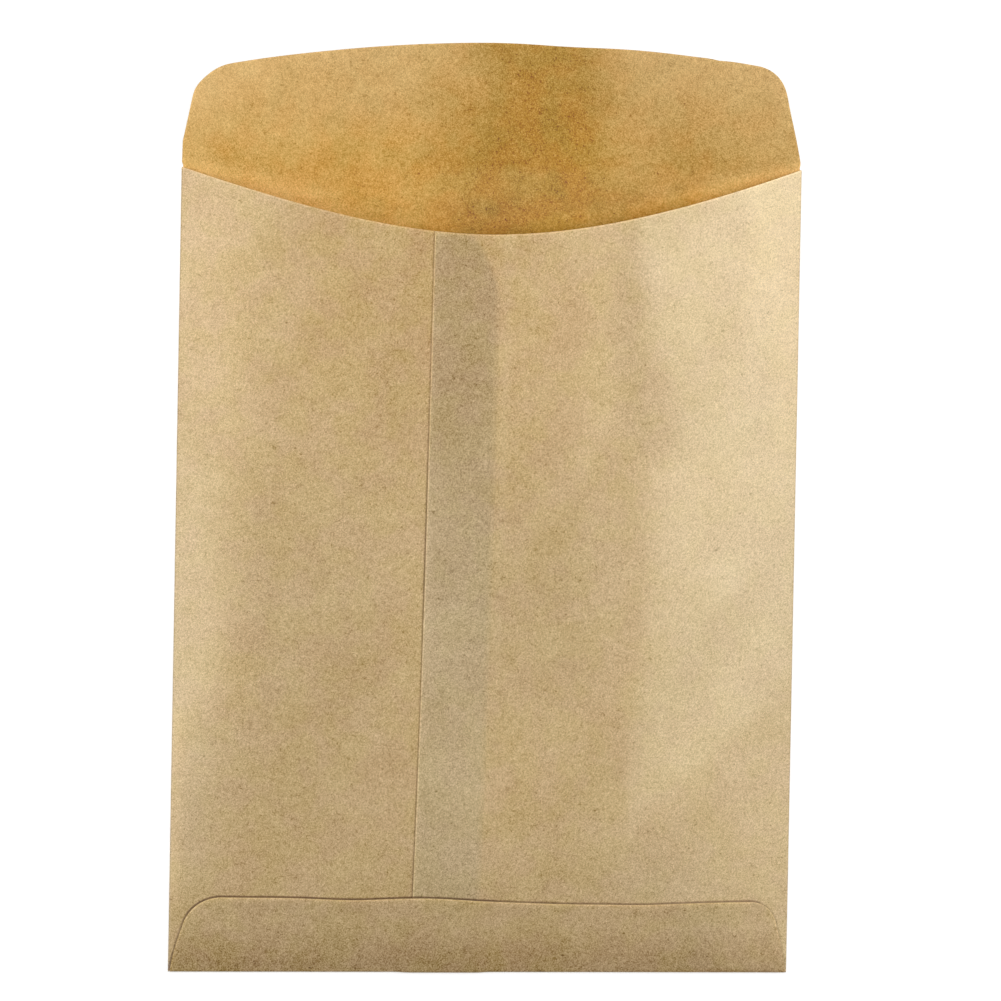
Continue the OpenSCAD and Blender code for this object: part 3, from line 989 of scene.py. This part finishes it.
# Soft lamps: level added on a flat white surface, azimuth and elevation in degrees, distance, size
LAMPS = {
    "key": (0.33, 15.0, 50.0, 1.1, 0.55),
    "left_fill": (0.28, 176.0, 50.0, 1.1, 0.55),
    "back_fill": (0.26, 98.0, 42.0, 1.1, 0.6),
}


def make_world():
    """White surroundings that the camera sees at full strength and that light the object weakly."""
    world = bpy.data.worlds.new("studio")
    world.use_nodes = True
    bpy.context.scene.world = world
    nodes = Nodes.__new__(Nodes)
    nodes.tree = world.node_tree
    nodes.tree.nodes.clear()
    background = nodes.add("ShaderNodeBackground")
    path = nodes.add("ShaderNodeLightPath")
    strength = nodes.math("MULTIPLY_ADD", path.outputs["Is Camera Ray"], 1.0 - AMBIENT, AMBIENT)
    nodes.put(strength, background.inputs["Strength"])
    background.inputs["Color"].default_value = (1.0, 1.0, 1.0, 1.0)
    output = nodes.add("ShaderNodeOutputWorld")
    nodes.put(background.outputs[0], output.inputs["Surface"])


def make_lamp(name, level, azimuth, elevation, distance, size):
    """A soft square lamp that adds the given level on a flat white surface at the origin."""
    azimuth, elevation = math.radians(azimuth), math.radians(elevation)
    way = Vector((
        math.cos(elevation) * math.cos(azimuth),
        math.cos(elevation) * math.sin(azimuth),
        math.sin(elevation),
    ))
    light = bpy.data.lights.new(name, "AREA")
    light.shape = "SQUARE"
    light.size = size
    light.energy = level * (math.pi * distance) ** 2 / math.sin(elevation)
    lamp = bpy.data.objects.new(name, light)
    lamp.location = way * distance
    lamp.rotation_euler = way.to_track_quat("Z", "Y").to_euler()
    lamp.visible_camera = False
    bpy.context.scene.collection.objects.link(lamp)


# The camera looks almost straight down through a long lens, tilted a few degrees about x and y
CAMERA_DISTANCE = 4.5
CAMERA_TILT_X = math.radians(6.25)
CAMERA_TILT_Y = math.radians(7.76)
CAMERA_ROLL = math.radians(-0.21)
CAMERA_TARGET = Vector((0.00237, 0.00115, 0.0))
CAMERA_LENS = 1011.21


def make_camera():
    """The photo's view of the envelope."""
    to_camera = (
        Matrix.Rotation(CAMERA_ROLL, 3, "Z")
        @ Matrix.Rotation(CAMERA_TILT_Y, 3, "Y")
        @ Matrix.Rotation(CAMERA_TILT_X, 3, "X")
    )
    turn = to_camera.transposed()
    data = bpy.data.cameras.new("camera")
    data.sensor_width = 36.0
    data.lens = CAMERA_LENS
    data.clip_start = 0.05
    data.clip_end = 50.0
    camera = bpy.data.objects.new("camera", data)
    camera.matrix_world = Matrix.Translation(
        CAMERA_TARGET + turn @ Vector((0.0, 0.0, CAMERA_DISTANCE))
    ) @ turn.to_4x4()
    bpy.context.scene.collection.objects.link(camera)
    bpy.context.scene.camera = camera


make_camera()
envelope = make_envelope()
bpy.context.scene.collection.objects.link(envelope)
inner_colours = INNER_BASE, INNER_TINT, INNER_PALE, INNER_GRAIN
outer_colours = OUTER_BASE, OUTER_TINT, OUTER_PALE, OUTER_GRAIN
for material in (
    paper("kraft_inner", *inner_colours, INNER_CLOUDY, INNER_RIM),
    paper("kraft_outer", *outer_colours, OUTER_CLOUDY, OUTER_RIM),
    cut_edge("kraft_cut_edge", EDGE_BASE, EDGE_TINT),
):
    envelope.data.materials.append(material)
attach(envelope, "root")
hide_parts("envelope")

make_world()
make_floor()
for lamp_name, settings in LAMPS.items():
    make_lamp(lamp_name, *settings)
bpy.context.scene.view_settings.view_transform = "Standard"
